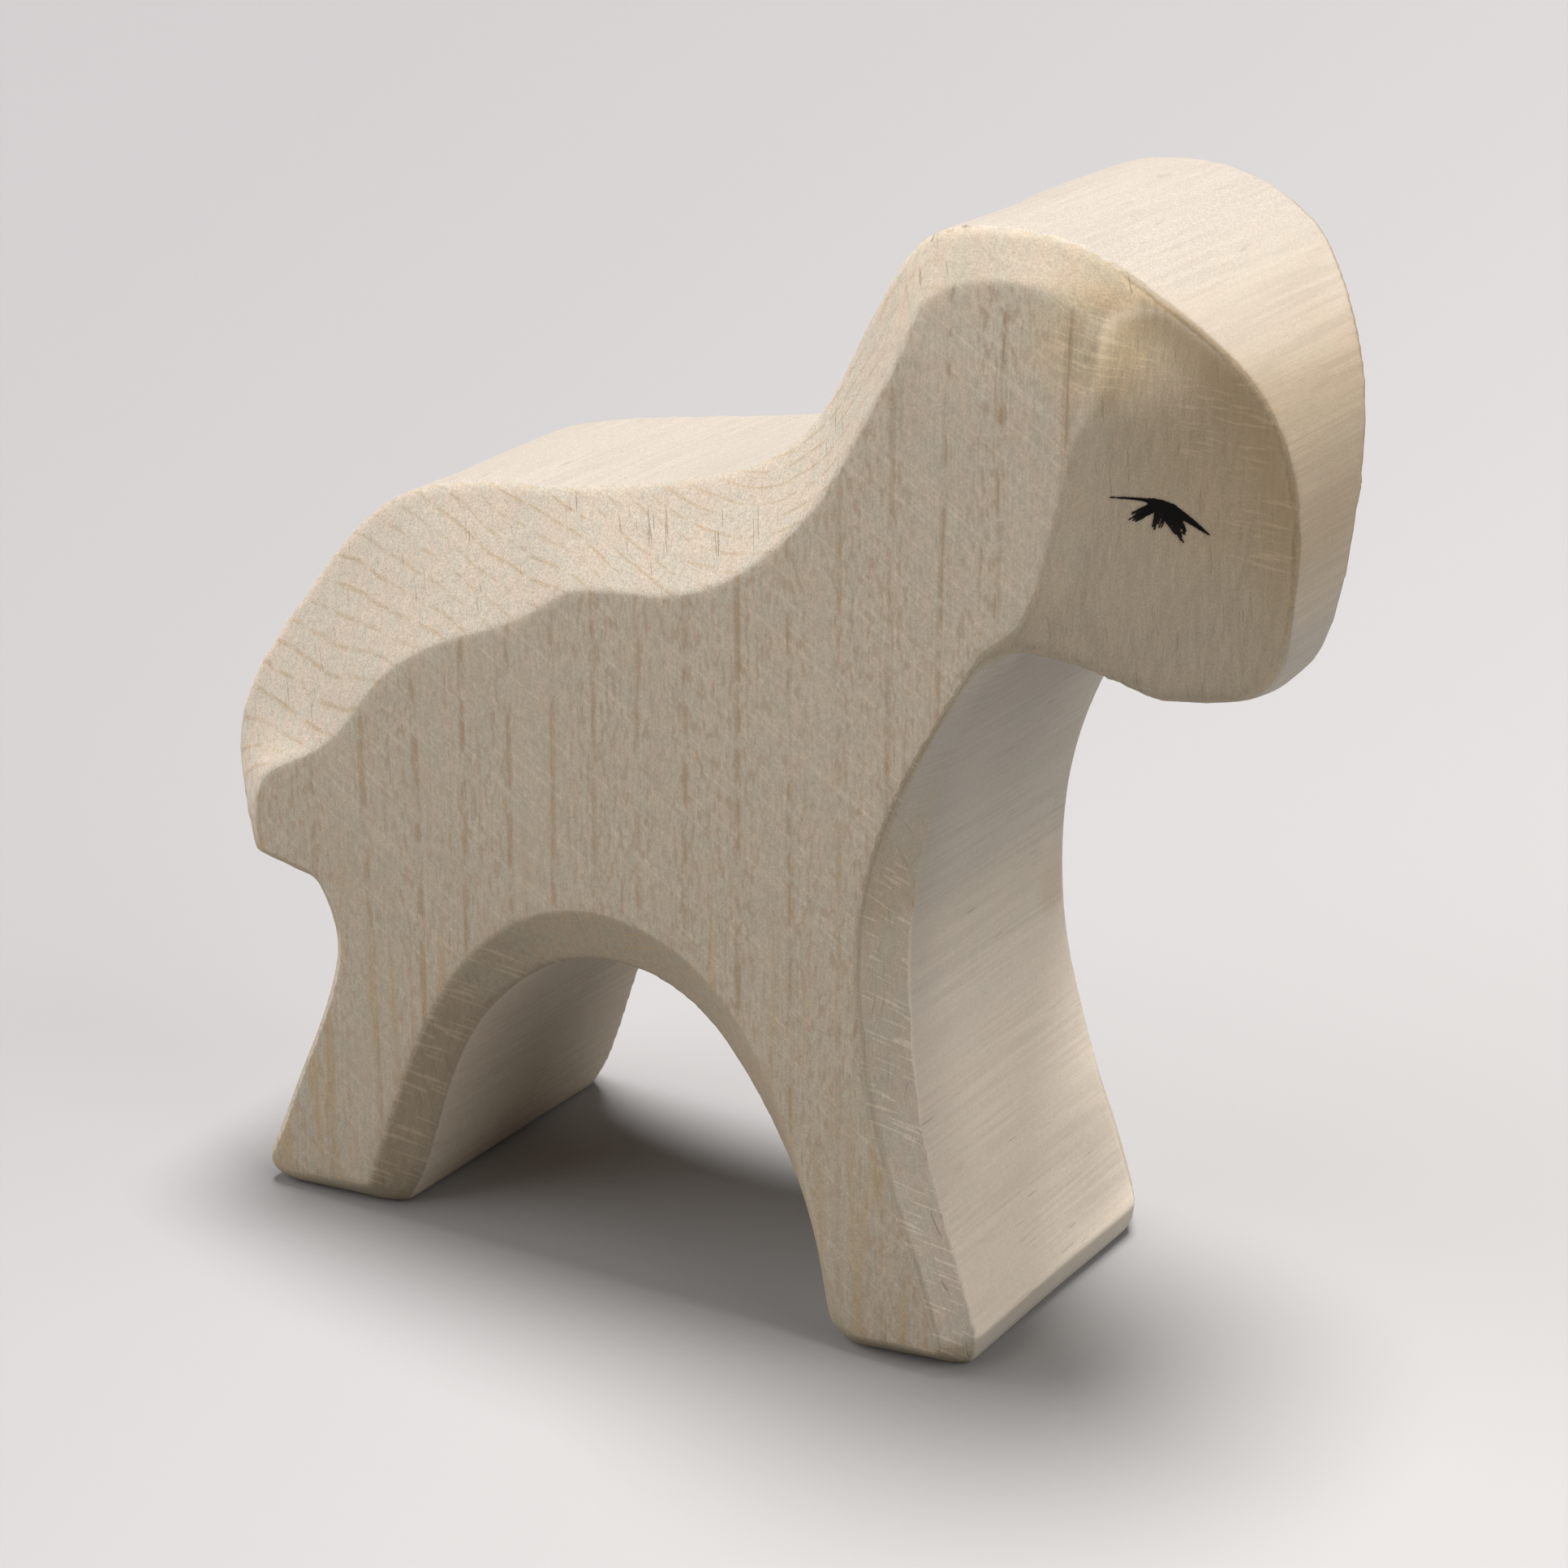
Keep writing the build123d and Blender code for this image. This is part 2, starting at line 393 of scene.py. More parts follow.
# Nodes stand in rows, in the order in which they are made
def addNode(tree, kind, settings=None, inputs=None):
    row, column = divmod(len(tree.nodes), nodeLayout["perRow"])
    made = tree.nodes.new("ShaderNode" + kind)
    made.location = (column * nodeLayout["stepX"], -row * nodeLayout["stepY"])
    for name, value in (settings or {}).items():
        setattr(made, name, value)
    for name, value in (inputs or {}).items():
        if isinstance(value, bpy.types.NodeSocket):
            tree.links.new(value, made.inputs[name])
        else:
            made.inputs[name].default_value = value
    return made


def newMaterial(name):
    material = bpy.data.materials.new(name)
    material.use_nodes = True
    return material, material.node_tree, material.node_tree.nodes["Principled BSDF"]


def between(tree, value, low, high, lowOut=0.0, highOut=1.0):
    made = addNode(tree, "MapRange", {"interpolation_type": "SMOOTHSTEP"}, {
        "Value": value, "From Min": low, "From Max": high, "To Min": lowOut, "To Max": highOut})
    return made.outputs["Result"]


def reckon(tree, operation, first, second):
    made = addNode(tree, "Math", {"operation": operation}, {0: first, 1: second})
    return made.outputs["Value"]


def multiply(tree, first, *others):
    product = first
    for other in others:
        product = reckon(tree, "MULTIPLY", product, other)
    return product


# Mix node sockets: 0 the share, 6 the colour below, 7 the colour above, 2 the result
def tint(tree, share, below, above, mode="MIX"):
    made = addNode(tree, "Mix", {"data_type": "RGBA", "blend_type": mode}, {
        0: share, 6: below, 7: above})
    return made.outputs[2]


def shade(tree, share, colour, factor):
    return tint(tree, share, colour, factor, "MULTIPLY")


# Noise drawn out along the axes: a row's size is a grain's length in mm across x, y and z.
# Where a row has a span, the noise becomes a mask
def grains(tree, position, row):
    perMetre = [1 / (axis * mm) for axis in row["size"]]
    drawn = addNode(tree, "Mapping", {}, {"Vector": position, "Scale": perMetre})
    made = addNode(tree, "TexNoise", {}, {
        "Vector": drawn.outputs["Vector"], "Scale": 1.0, "Detail": row["detail"],
        "Roughness": row.get("roughness", 0.5)})
    value = made.outputs["Fac"]
    return between(tree, value, *row["span"]) if "span" in row else value


# The same place turned about x, y or z, so that marks run aslant
def turned(tree, position, rotation):
    made = addNode(tree, "Mapping", {}, {"Vector": position, "Rotation": rotation})
    return made.outputs["Vector"]


def distance(tree, position, middle):
    made = addNode(tree, "VectorMath", {"operation": "DISTANCE"}, {0: position, 1: middle})
    return made.outputs["Value"]


# Gives a ramp its stops, each one a place from 0 to 1 and a colour
def setStops(ramp, rows):
    stops = ramp.color_ramp.elements
    for count, (place, colour) in enumerate(rows):
        stop = stops[count] if count < 2 else stops.new(place)
        stop.position, stop.color = place, colour


# Upright grain, used by the bare wood and by the paint that lies on it
uprightGrain = {
    "fibre": {"size": (0.11, 0.11, 2.4), "detail": 2.0, "roughness": 0.6},
    "grit": {"size": (0.10, 0.10, 0.12), "detail": 1.0},
    "strand": {"size": (0.30, 0.30, 7.0), "detail": 2.0},
    "fleck": {"size": (0.36, 3.0, 1.0), "detail": 1.0, "span": (0.49, 0.65)},
    "patch": {"size": (3.0, 9.0, 30.0), "detail": 1.0, "span": (0.30, 0.58)},
    # growth rings
    "heart": (100, 390),                # the tree's middle, mm before and beside the lamb
    "year": 0.45,                       # mm that the tree grew each year
    "wander": {"size": (10, 10, 45), "detail": 2.0},
    "wanderYears": 1.2,
    "waver": {"size": (2.6, 2.6, 7.0), "detail": 1.0},
    "waverYears": 0.35,
    "ringLine": (0.15, 0.03),           # share of a year, from the line's border to its middle
    "vigour": {"scale": 0.73, "span": (0.35, 0.65, 0.55, 1.0)},
    "broken": {"size": (1.2, 1.2, 0.6), "detail": 2.0, "span": (0.36, 0.56)},
    # darker upright lines of a side
    "column": 3.3,                      # mm between them
    "bending": {"size": (12.0, 40.0, 110.0), "detail": 0.0},
    "bendingColumns": 1.3,
    "columnLine": (0.10, 0.02),
    "dash": {"size": (0.7, 9.0, 1.5), "detail": 2.0, "span": (0.40, 0.56, 0.10, 1.0)},
    "columnDepth": {"scale": 0.77, "span": (0.35, 0.65, 0.45, 1.0)},
}


# A line at each whole step of a count
def linesAt(tree, count, span):
    return between(tree, reckon(tree, "PINGPONG", count, 0.5), *span)


# One strength for each whole step of a count
def perStep(tree, count, row):
    made = addNode(tree, "TexNoise", {"noise_dimensions": "1D"}, {
        "W": reckon(tree, "FLOOR", count, 0.0), "Scale": row["scale"], "Detail": 0.0})
    return between(tree, made.outputs["Fac"], *row["span"])


# Growth rings stand upright about the heart: a thin dark line for each year
def makeRings(tree, spot):
    heartX, heartY = uprightGrain["heart"]
    fromHeart = addNode(tree, "Mapping", {}, {
        "Vector": spot, "Location": (-heartX * mm, -heartY * mm, 0), "Scale": (1, 1, 0)})
    radius = addNode(tree, "VectorMath", {"operation": "LENGTH"}, {
        0: fromHeart.outputs["Vector"]}).outputs["Value"]
    wander = multiply(tree, grains(tree, spot, uprightGrain["wander"]), uprightGrain["wanderYears"])
    waver = multiply(tree, grains(tree, spot, uprightGrain["waver"]), uprightGrain["waverYears"])
    years = reckon(tree, "DIVIDE", radius, uprightGrain["year"] * mm)
    years = reckon(tree, "ADD", years, reckon(tree, "ADD", wander, waver))
    return multiply(
        tree, linesAt(tree, years, uprightGrain["ringLine"]),
        perStep(tree, years, uprightGrain["vigour"]), grains(tree, spot, uprightGrain["broken"]))


def makeColumns(tree, spot):
    alongX = addNode(tree, "SeparateXYZ", {}, {"Vector": spot}).outputs["X"]
    bending = grains(tree, spot, uprightGrain["bending"])
    columns = reckon(tree, "DIVIDE", alongX, uprightGrain["column"] * mm)
    columns = reckon(tree, "ADD", columns, multiply(tree, bending, uprightGrain["bendingColumns"]))
    return multiply(
        tree, grains(tree, spot, uprightGrain["dash"]),
        perStep(tree, columns, uprightGrain["columnDepth"]),
        linesAt(tree, columns, uprightGrain["columnLine"]))


def makeUprightGrain():
    tree = bpy.data.node_groups.new("uprightGrain", "ShaderNodeTree")
    spot = addNode(tree, "TexCoord").outputs["Object"]
    made = {
        "Fibre": grains(tree, spot, uprightGrain["fibre"]),
        "Grit": grains(tree, spot, uprightGrain["grit"]),
        "Fleck": multiply(tree, grains(tree, spot, uprightGrain["fleck"]),
                          grains(tree, spot, uprightGrain["patch"])),
        "Ring": makeRings(tree, spot),
        "Strand": grains(tree, spot, uprightGrain["strand"]),
        "Column": makeColumns(tree, spot),
    }
    for name in made:
        tree.interface.new_socket(name, in_out="OUTPUT", socket_type="NodeSocketFloat")
    out = tree.nodes.new("NodeGroupOutput")
    for name, value in made.items():
        tree.links.new(value, out.inputs[name])
    return tree


# Bare wood is built in layers. A pair of numbers says where a mask starts and where it is full;
# two more say what it is worth there
woodMasks = {
    "planed": (0.955, 0.985),           # by how far a face looks sideways
    "rim": (0.45, 0.15),
    "cheekSide": (0.60, 0.72),
    "cheekFront": (0.40, 0.52),         # by how far it looks forward
    "endCut": (0.08, 0.28),             # by how far it looks up
    "top": (0.55, 0.90),
    "offRim": (0.5, 0.0),               # by how far it is rim
    "longGrain": (0.0, 1.0, 1.0, 0.15),
    "behindNeck": (14 * mm, 9 * mm),    # by its place along the lamb
}


# Which way a face looks, and where it lies: planed sides, bevels and tops, sawn rim, cheeks
def makeMasks(tree):
    coordinates = addNode(tree, "TexCoord").outputs
    spot = coordinates["Object"]
    look = addNode(tree, "SeparateXYZ", {}, {"Vector": coordinates["Normal"]}).outputs
    place = addNode(tree, "SeparateXYZ", {}, {"Vector": spot}).outputs
    sideways = addNode(tree, "Math", {"operation": "ABSOLUTE"}, {0: look["Y"]}).outputs["Value"]
    rim = between(tree, sideways, *woodMasks["rim"])
    cheek = multiply(tree, between(tree, look["X"], *woodMasks["cheekFront"]),
                     between(tree, sideways, *woodMasks["cheekSide"]))
    return SimpleNamespace(
        spot=spot, x=place["X"], y=place["Y"], z=place["Z"],
        flat=addNode(tree, "CombineXYZ", {}, {"X": place["X"], "Z": place["Z"]}).outputs["Vector"],
        forward=look["X"], sideways=sideways, up=look["Z"],
        rim=rim, cheek=cheek, plain=reckon(tree, "MAXIMUM", rim, cheek),
        planed=between(tree, sideways, *woodMasks["planed"]),
        endCut=between(tree, look["Z"], *woodMasks["endCut"]),
        top=between(tree, look["Z"], *woodMasks["top"]),
        offRim=between(tree, rim, *woodMasks["offRim"]),
        longGrain=between(tree, rim, *woodMasks["longGrain"]),
        behindNeck=between(tree, place["X"], *woodMasks["behindNeck"]))


woodTones = {
    "planed": (0.735, 0.618, 0.478, 1),
    # painted shade: the planed sides darken towards the feet, where less light reaches
    "towardsFeetShade": (4 * mm, 54 * mm, 0.85, 1.00),       # sides are darker towards the feet
    # painted light and shade: sanded faces, by how far they look up: under the belly, upright,
    # bevels, tops; darker below, palest on the bevels, darker again on the tops
    "sanded": [(-0.40, (0.50, 0.415, 0.306, 1)), (-0.10, (0.59, 0.485, 0.354, 1)),
               (0.08, (0.91, 0.785, 0.638, 1)), (0.40, (0.79, 0.67, 0.545, 1)),
               (0.70, (0.635, 0.547, 0.445, 1)), (0.95, (0.53, 0.465, 0.40, 1))],
    # painted shade: upright bevels that look forward are darker
    "forwardBevelShade": (0.75, 0.74, 0.72, 1),
    "steepFrom": (-0.10, 0.08),
    "steepTo": (0.40, 0.10),
    "steepFront": (0.12, 0.30),
    "steepBelow": (55 * mm, 50 * mm),
    # sawn faces under the belly, and the chest: darker and greyer as painted shade under the head
    "sawnUnder": (0.24, -0.24),
    "hollow": (0.70, 0.59, 0.46, 1),
    "chest": (0.505, 0.450, 0.378, 1),
    "chestFront": (0.0, 8 * mm),
    "chestBelow": (46 * mm, 41 * mm, 0.5, 1.0),
    # warmer wood at the front of the head
    "honey": (0.49, 0.365, 0.228, 1),
    "honeyMiddle": (31 * mm, 0, 56 * mm),
    "honeyReach": (15 * mm, 6 * mm, 0.0, 0.75),
    "honeyUpright": (0.75, 0.35),
    # painted light: paler on the crown and the brow of the right side
    "crownLight": {"middle": (18 * mm, -11 * mm, 62.5 * mm), "reach": (9 * mm, 3 * mm, 1.0, 1.14)},
    "browLight": {"middle": (27 * mm, -10 * mm, 60.5 * mm), "reach": (6 * mm, 1.5 * mm, 1.0, 1.60)},
    # the right ear's front edge is warmer
    "warmEar": (1.06, 1.0, 0.88, 1),
    "warmEarMiddle": (24.8 * mm, -11.5 * mm, 59.5 * mm),
    "warmEarReach": (4.5 * mm, 1.5 * mm),
}


def layTones(tree, on):
    # painted light and shade: a face's colour follows how far it looks up
    tilt = addNode(tree, "MapRange", {}, {"Value": on.up, "From Min": -1.0, "From Max": 1.0})
    sanded = addNode(tree, "ValToRGB", {}, {"Fac": tilt.outputs["Result"]})
    setStops(sanded, [(0.5 + lean / 2, colour) for lean, colour in woodTones["sanded"]])
    colour = tint(tree, on.planed, sanded.outputs["Color"], woodTones["planed"])
    # painted shade on upright bevels that look forward
    forwardBevelShade = multiply(
        tree, between(tree, on.up, *woodTones["steepFrom"]),
        between(tree, on.up, *woodTones["steepTo"]), on.offRim,
        between(tree, on.forward, *woodTones["steepFront"]),
        between(tree, on.z, *woodTones["steepBelow"]))
    colour = shade(tree, forwardBevelShade, colour, woodTones["forwardBevelShade"])

    # painted shade: the chest under the head is darker and greyer
    breast = multiply(tree, between(tree, on.x, *woodTones["chestFront"]),
                      between(tree, on.z, *woodTones["chestBelow"]))
    sawn = multiply(tree, on.rim, between(tree, on.up, *woodTones["sawnUnder"]))
    colour = tint(tree, sawn, colour, tint(tree, breast, woodTones["hollow"], woodTones["chest"]))
    # painted shade on the planed sides, darker towards the feet
    colour = shade(tree, on.planed, colour, between(tree, on.z, *woodTones["towardsFeetShade"]))

    toFace = distance(tree, on.spot, woodTones["honeyMiddle"])
    honey = multiply(tree, between(tree, toFace, *woodTones["honeyReach"]),
                     between(tree, on.up, *woodTones["honeyUpright"]))
    colour = tint(tree, honey, colour, woodTones["honey"])
    # painted light: the crown and the brow of the right side are made paler
    for name, flats in (("crownLight", on.offRim), ("browLight", on.cheek)):
        away = distance(tree, on.spot, woodTones[name]["middle"])
        colour = shade(tree, flats, colour, between(tree, away, *woodTones[name]["reach"]))
    toEar = distance(tree, on.spot, woodTones["warmEarMiddle"])
    nearEar = between(tree, toEar, *woodTones["warmEarReach"])
    return shade(tree, nearEar, colour, woodTones["warmEar"])


# Marks of the tools, and cracks: saw lines across the rim, slanting scratches on the sides,
# knife cuts on the head, short cuts across the bevel of the chest and shin
woodMarks = {
    "sawLine": {"size": (0.40, 11.0, 0.26), "detail": 1.5},
    "sawPatch": {"size": (5.0, 9.0, 4.0), "detail": 1.0, "span": (0.35, 0.60, 0.3, 1.0)},
    "sawOnTops": (0.0, 1.0, 1.0, 0.80),
    "sawShade": (0.34, 0.66, 0.94, 1.035),
    "scratch": {"size": (7.0, 7.0, 0.22), "detail": 1.0, "span": (0.54, 0.70)},
    "scratchTurn": (0, math.radians(-32), 0),
    "scratchShade": (0.0, 1.0, 1.0, 1.08),
    "knifeCut": {"size": (1.8, 1.8, 0.20), "detail": 1.0},
    "knifeTurn": (0, math.radians(-16), 0),
    # before the ear and along the face: middle along and up, and reach, in mm
    "knifeSpots": [((25.0, 59.4), 3.2), ((30.2, 55.5), 3.8), ((32.0, 49.0), 3.0)],
    "knifeShade": (0.54, 0.70, 0.97, 1.15),
    "shinFront": (0.14, 0.36),
    "shinSide": (0.28, 0.40),
    "shinBelow": (41 * mm, 37 * mm),
    "tick": {"size": (4.0, 2.2, 0.15), "detail": 0.5, "span": (0.60, 0.70)},
    "tickTurn": (math.radians(38), 0, 0),
    "tickShade": (0.0, 1.0, 1.0, 1.24),
    "rimCrack": {"size": (1.6, 4.0, 0.16), "detail": 1.0, "span": (0.71, 0.79, 0.0, 0.4)},
    # short dark cracks follow the grain, and lean a little on the bevels
    "hairline": {"size": (0.14, 3.0, 2.6), "detail": 1.0, "span": (0.69, 0.76)},
    "hairlineLean": math.radians(24),
    "hairlineShare": (0.0, 1.0, 0.18, 0.42),
    "crack": (0.20, 0.13, 0.08, 1),
}


def makeMarks(tree, on):
    sawReach = multiply(tree, on.rim, between(tree, on.top, *woodMarks["sawOnTops"]),
                        grains(tree, on.spot, woodMarks["sawPatch"]))
    slanted = turned(tree, on.spot, woodMarks["scratchTurn"])
    shin = multiply(
        tree, between(tree, on.forward, *woodMarks["shinFront"]),
        between(tree, on.sideways, *woodMarks["shinSide"]),
        between(tree, on.z, *woodMarks["shinBelow"]))
    crossed = turned(tree, on.spot, woodMarks["tickTurn"])
    acrossFace = turned(tree, on.spot, woodMarks["knifeTurn"])
    lean = addNode(tree, "CombineXYZ", {}, {
        "Y": multiply(tree, on.endCut, woodMarks["hairlineLean"])}).outputs["Vector"]
    leaning = turned(tree, on.spot, lean)
    knifed = 0.0
    for (middleX, middleZ), reach in woodMarks["knifeSpots"]:
        away = distance(tree, on.flat, (middleX * mm, 0, middleZ * mm))
        near = between(tree, away, reach * mm, reach * mm / 2)
        knifed = reckon(tree, "MAXIMUM", knifed, near)
    return SimpleNamespace(
        sawLines=grains(tree, on.spot, woodMarks["sawLine"]), sawReach=sawReach,
        scratches=multiply(tree, grains(tree, slanted, woodMarks["scratch"]), on.planed),
        shin=shin, ticks=multiply(tree, grains(tree, crossed, woodMarks["tick"]), shin),
        knifeCuts=grains(tree, acrossFace, woodMarks["knifeCut"]),
        knifed=multiply(tree, knifed, on.offRim),
        rimCracks=multiply(tree, grains(tree, on.spot, woodMarks["rimCrack"]), sawReach),
        hairline=multiply(tree, grains(tree, leaning, woodMarks["hairline"]), on.longGrain))


# What grew in the wood
woodGrowth = {
    "mottle": {"size": (1.2, 1.2, 2.0), "detail": 0.0, "span": (0.32, 0.68)},
    "mottleShare": (0.0, 1.0, 1.0, 0.3),
    "pinkish": (1.022, 0.993, 0.98, 1),
    "greenish": (0.975, 1.004, 1.0, 1),
    "cloud": {"size": (0.36, 0.36, 0.60), "detail": 1.0, "span": (0.30, 0.70, 0.955, 1.04)},
    "cloudShare": (0.0, 1.0, 1.0, 0.35),
    # rings show on bevels and sides, and faintly on the tops and before the neck
    "latewood": (0.60, 0.41, 0.22, 1),
    "ringOnBevels": (0.25, 0.50, 0.0, 0.52),
    "ringOnSides": (0.0, 1.0, 1.0, 0.20),
    "ringOnTops": 0.24,
    "ringBeforeNeck": (14 * mm, 9 * mm, 0.3, 1.0),
    "fleck": (0.52, 0.36, 0.23, 1),
    "fleckOnEndCuts": (0.0, 1.0, 0.44, 0.04),
    "fleckOnSides": (0.86, 0.96, 0.08, 1.0),
    "column": (0.48, 0.33, 0.19, 1),
    "columnShare": 0.66,
    # ochre stains rise from the feet, and a small knot shows beside the chest
    "stained": (0.58, 0.42, 0.24, 1),
    "stain": {"size": (1.4, 12.0, 16.0), "detail": 1.0, "span": (0.50, 0.66, 0.0, 0.6)},
    "stainRise": (32 * mm, 12 * mm),
    "knot": (0.60, 0.47, 0.34, 1),
    "knotMiddle": (13.5 * mm, 7.6 * mm, 22.3 * mm),
    "knotReach": (2.4 * mm, 0.8 * mm, 0.0, 0.45),
}


def layGrowth(tree, on, grain, colour):
    hue = tint(tree, grains(tree, on.spot, woodGrowth["mottle"]),
               woodGrowth["pinkish"], woodGrowth["greenish"])
    colour = shade(tree, between(tree, on.plain, *woodGrowth["mottleShare"]), colour, hue)
    cloud = grains(tree, on.spot, woodGrowth["cloud"])
    colour = shade(tree, between(tree, on.plain, *woodGrowth["cloudShare"]), colour, cloud)

    ringReach = multiply(tree, between(tree, on.sideways, *woodGrowth["ringOnBevels"]),
                         between(tree, on.planed, *woodGrowth["ringOnSides"]))
    ringReach = reckon(tree, "MAXIMUM", ringReach, multiply(tree, on.top, woodGrowth["ringOnTops"]))
    rings = multiply(tree, grain["Ring"], ringReach,
                     between(tree, on.x, *woodGrowth["ringBeforeNeck"]))
    colour = tint(tree, rings, colour, woodGrowth["latewood"])
    flecks = multiply(tree, grain["Fleck"], on.longGrain,
                      between(tree, on.endCut, *woodGrowth["fleckOnEndCuts"]),
                      between(tree, on.sideways, *woodGrowth["fleckOnSides"]))
    colour = tint(tree, flecks, colour, woodGrowth["fleck"])
    columns = multiply(tree, grain["Column"], on.planed, woodGrowth["columnShare"])
    colour = tint(tree, columns, colour, woodGrowth["column"])

    stains = multiply(tree, grains(tree, on.spot, woodGrowth["stain"]), on.planed,
                      between(tree, on.z, *woodGrowth["stainRise"]))
    colour = tint(tree, stains, colour, woodGrowth["stained"])
    toKnot = distance(tree, on.spot, woodGrowth["knotMiddle"])
    knot = multiply(tree, on.rim, between(tree, toKnot, *woodGrowth["knotReach"]))
    return tint(tree, knot, colour, woodGrowth["knot"])


# Arrises tinted tan, partly rubbed wear and partly painted shade along the rounded edges, and a
# fine dark split along the crown's edge
woodWear = {
    "tanAndShadedArris": (0.64, 0.50, 0.30, 1),
    "rubbedArris": (0.14, 0.26),
    "worn": {"size": (1.8, 1.8, 1.8), "detail": 2.0, "span": (0.35, 0.65, 0.20, 0.60)},
    "split": {"size": (0.9, 0.9, 0.9), "detail": 2.0, "span": (0.44, 0.60, 0.0, 0.5)},
    "splitArris": (0.15, 0.19),
    "splitFrom": (13.5 * mm, 15 * mm),
    "splitTo": (23 * mm, 19 * mm),
    "splitAbove": (61 * mm, 62.5 * mm),
}


def layWear(tree, on, marks, colour):
    cracks = multiply(tree, marks.hairline, between(tree, on.endCut, *woodMarks["hairlineShare"]))
    colour = tint(tree, cracks, colour, woodMarks["crack"])
    arris = addNode(tree, "Attribute", {"attribute_name": "arris"}).outputs["Fac"]
    # a tan tint on proud arrises: partly wear, partly painted shade
    tanAndShadedArris = multiply(tree, between(tree, arris, *woodWear["rubbedArris"]),
                      grains(tree, on.spot, woodWear["worn"]))
    colour = tint(tree, tanAndShadedArris, colour, woodWear["tanAndShadedArris"])
    split = multiply(
        tree, grains(tree, on.spot, woodWear["split"]),
        between(tree, arris, *woodWear["splitArris"]),
        between(tree, on.x, *woodWear["splitFrom"]), between(tree, on.x, *woodWear["splitTo"]),
        between(tree, on.z, *woodWear["splitAbove"]))
    return tint(tree, split, colour, woodMarks["crack"])


# The finest texture
woodFibres = {
    "fibreShade": (0.28, 0.72, 0.955, 1.04),
    "gritShade": (0.28, 0.68, 0.86, 1.10),
    "gritOnRim": (0.0, 1.0, 1.0, 0.65),
    "gritOnBack": (0.0, 1.0, 0.6, 1.0),
    "strandShade": (0.30, 0.70, 0.93, 1.05),
    "strandOnSides": 0.2,
}


def layFibres(tree, on, grain, colour):
    fibreShade = between(tree, grain["Fibre"], *woodFibres["fibreShade"])
    colour = shade(tree, on.longGrain, colour, fibreShade)
    backBevels = multiply(tree, on.endCut, on.behindNeck)
    gritReach = multiply(tree, between(tree, on.rim, *woodFibres["gritOnRim"]),
                         between(tree, backBevels, *woodFibres["gritOnBack"]))
    gritReach = reckon(tree, "MAXIMUM", gritReach, on.top)
    colour = shade(tree, gritReach, colour, between(tree, grain["Grit"], *woodFibres["gritShade"]))
    onSides = multiply(tree, on.planed, woodFibres["strandOnSides"])
    strandShade = between(tree, grain["Strand"], *woodFibres["strandShade"])
    return shade(tree, reckon(tree, "MAXIMUM", on.cheek, onSides), colour, strandShade)


# Lighter and darker zones of the chest, the front leg and the head: on the chest, the front leg,
# the lower cheeks and where the face turns they are painted light and shade
woodZones = {
    # painted shade on the bevel of the chest and shin, under the head
    "shin": (0.86, 0.86, 0.86, 1),
    # painted shade: the cheeks darken towards the jaw
    "jowl": (41 * mm, 50 * mm, 0.90, 1.0),
    # painted light and shade on the sawn front, by height in mm, from the toe to the throat
    "frontLightAndShade": [(2.5, 1.23), (6, 1.14), (12, 1.09), (18, 0.92),
                  (21.5, 0.89), (25, 1.09), (32, 1.03)],
    "frontHeight": 50 * mm,
    "frontMost": 2.0,                   # the tone at which the ramp is white
    "frontFrom": (9 * mm, 11 * mm),
    "frontBelow": (42 * mm, 39 * mm),
    # painted shade darkens it towards its right arris, and at the left side of the foot
    "rightArris": (-9.5 * mm, -4 * mm, 0.86, 1.0),
    "rightAbove": (7 * mm, 12 * mm),
    "leftFoot": (0.0, 7 * mm, 1.0, 0.81),
    "leftBelow": (11 * mm, 7 * mm),
    "leftAbove": (2 * mm, 4 * mm),
    # the bevel over the ear, from the crown to the brow
    "crownShade": (1.0, 0.985, 0.95, 1),
    "browShade": (0.83, 0.79, 0.71, 1),
    "browFrom": (19 * mm, 26 * mm),
    "browSide": (0.35, 0.55),
    "browOffSide": (0.985, 0.955),
    "browAbove": (58 * mm, 60.5 * mm),
    "browUp": (0.05, 0.30),
    # the border of the face is ochre, and painted shade darkens it where it turns: by the distance
    # from faceMiddle
    "faceEdge": (0.46, 0.33, 0.18, 1),
    "faceMiddle": (12.3 * mm, 0, 48.1 * mm),
    "faceEdgeReach": (17.8 * mm, 20.2 * mm, 0.0, 0.55),
    "faceEdgeAbove": (42 * mm, 50 * mm, 0.3, 1.0),
    "turning": (0.76, 0.72, 0.66, 1),
    "turningOffCheek": (0.72, 0.60),
    "turningOffRim": (0.06, 0.25),
    "turningFront": (0.40, 0.55),
    "turningReach": (18.6 * mm, 19.6 * mm),
    "turningAbove": (40 * mm, 44 * mm),
}


def layFront(tree, on, colour):
    front = multiply(tree, on.rim, between(tree, on.x, *woodZones["frontFrom"]),
                     between(tree, on.z, *woodZones["frontBelow"]))
    height, most = woodZones["frontHeight"], woodZones["frontMost"]
    # painted light and shade on the sawn front: a gain by height
    ramp = addNode(tree, "ValToRGB", {}, {"Fac": reckon(tree, "DIVIDE", on.z, height)})
    setStops(ramp, [(up * mm / height, (gain / most, gain / most, gain / most, 1))
                    for up, gain in woodZones["frontLightAndShade"]])
    colour = shade(tree, front, colour, multiply(tree, ramp.outputs["Color"], most))
    # painted shade towards the right arris and at the left of the foot
    right = multiply(tree, front, between(tree, on.z, *woodZones["rightAbove"]))
    colour = shade(tree, right, colour, between(tree, on.y, *woodZones["rightArris"]))
    left = multiply(tree, front, between(tree, on.z, *woodZones["leftBelow"]),
                    between(tree, on.z, *woodZones["leftAbove"]))
    return shade(tree, left, colour, between(tree, on.y, *woodZones["leftFoot"]))


